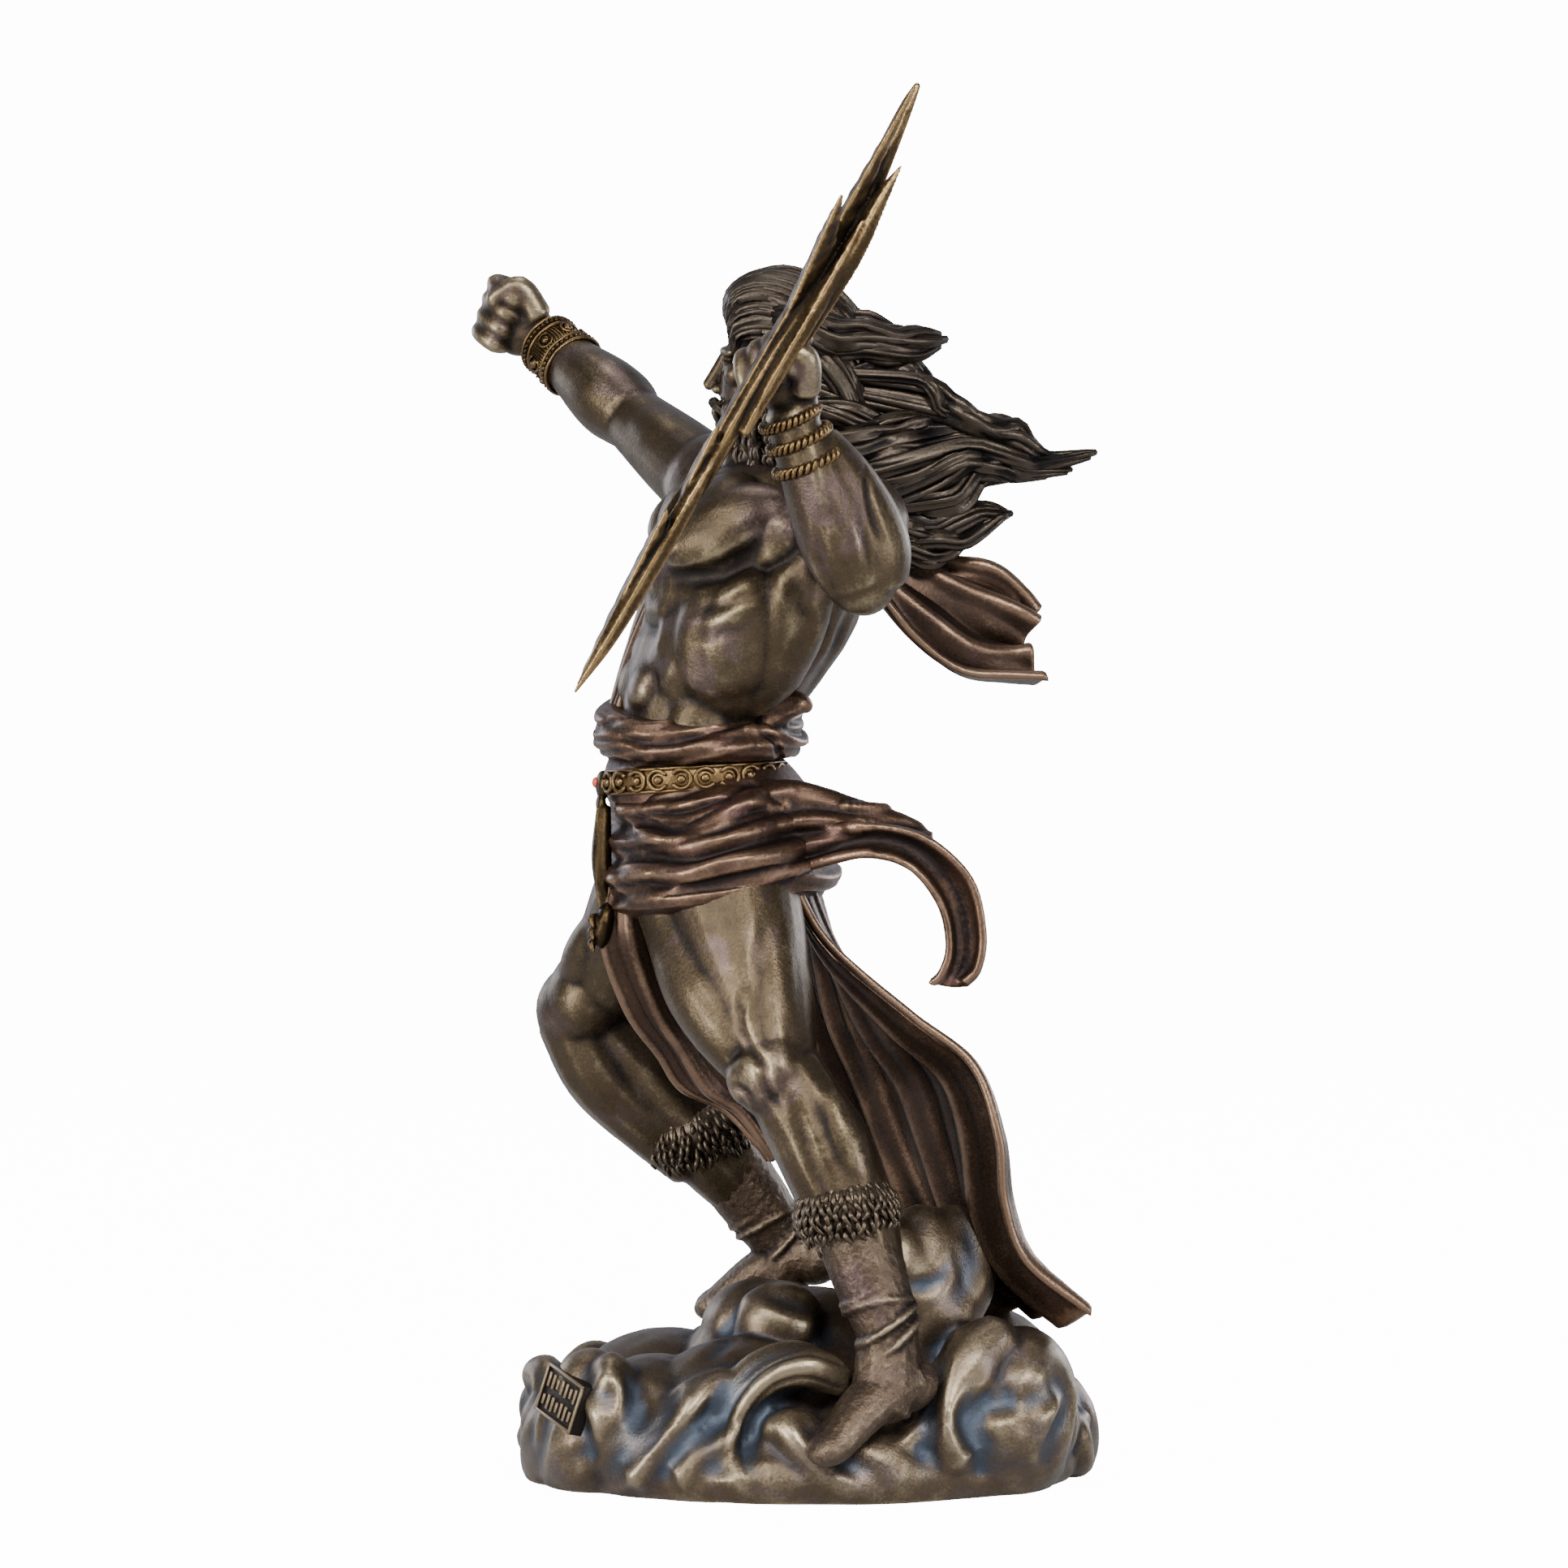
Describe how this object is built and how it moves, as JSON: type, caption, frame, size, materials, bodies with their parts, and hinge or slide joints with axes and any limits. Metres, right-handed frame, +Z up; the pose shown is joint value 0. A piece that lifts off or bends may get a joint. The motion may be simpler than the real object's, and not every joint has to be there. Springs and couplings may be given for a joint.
{
  "type": "thunder god statuette",
  "caption": "Bronze-patinated figurine of a bearded god striding on a cloud and throwing a lightning bolt, his hair and robes blown back.",
  "frame": {"origin": "centre of the cloud's flat underside, which stands on the shelf", "axes": "+Z up; the figure strides and looks towards -X; its left side, with the raised bolt, is towards -Y"},
  "size_m": [0.1375, 0.1682, 0.294],
  "materials": {
    "bronze": "cold-cast bronze with a dark patina, rubbed bright on the high places and tinted blue in the cloud's hollows",
    "gilt": "cold-cast bronze rubbed to a dull gold"
  },
  "bodies": {
    "root": {"figure_and_cloud": "bronze", "thunderbolt": "gilt"}
  },
  "joints": []
}
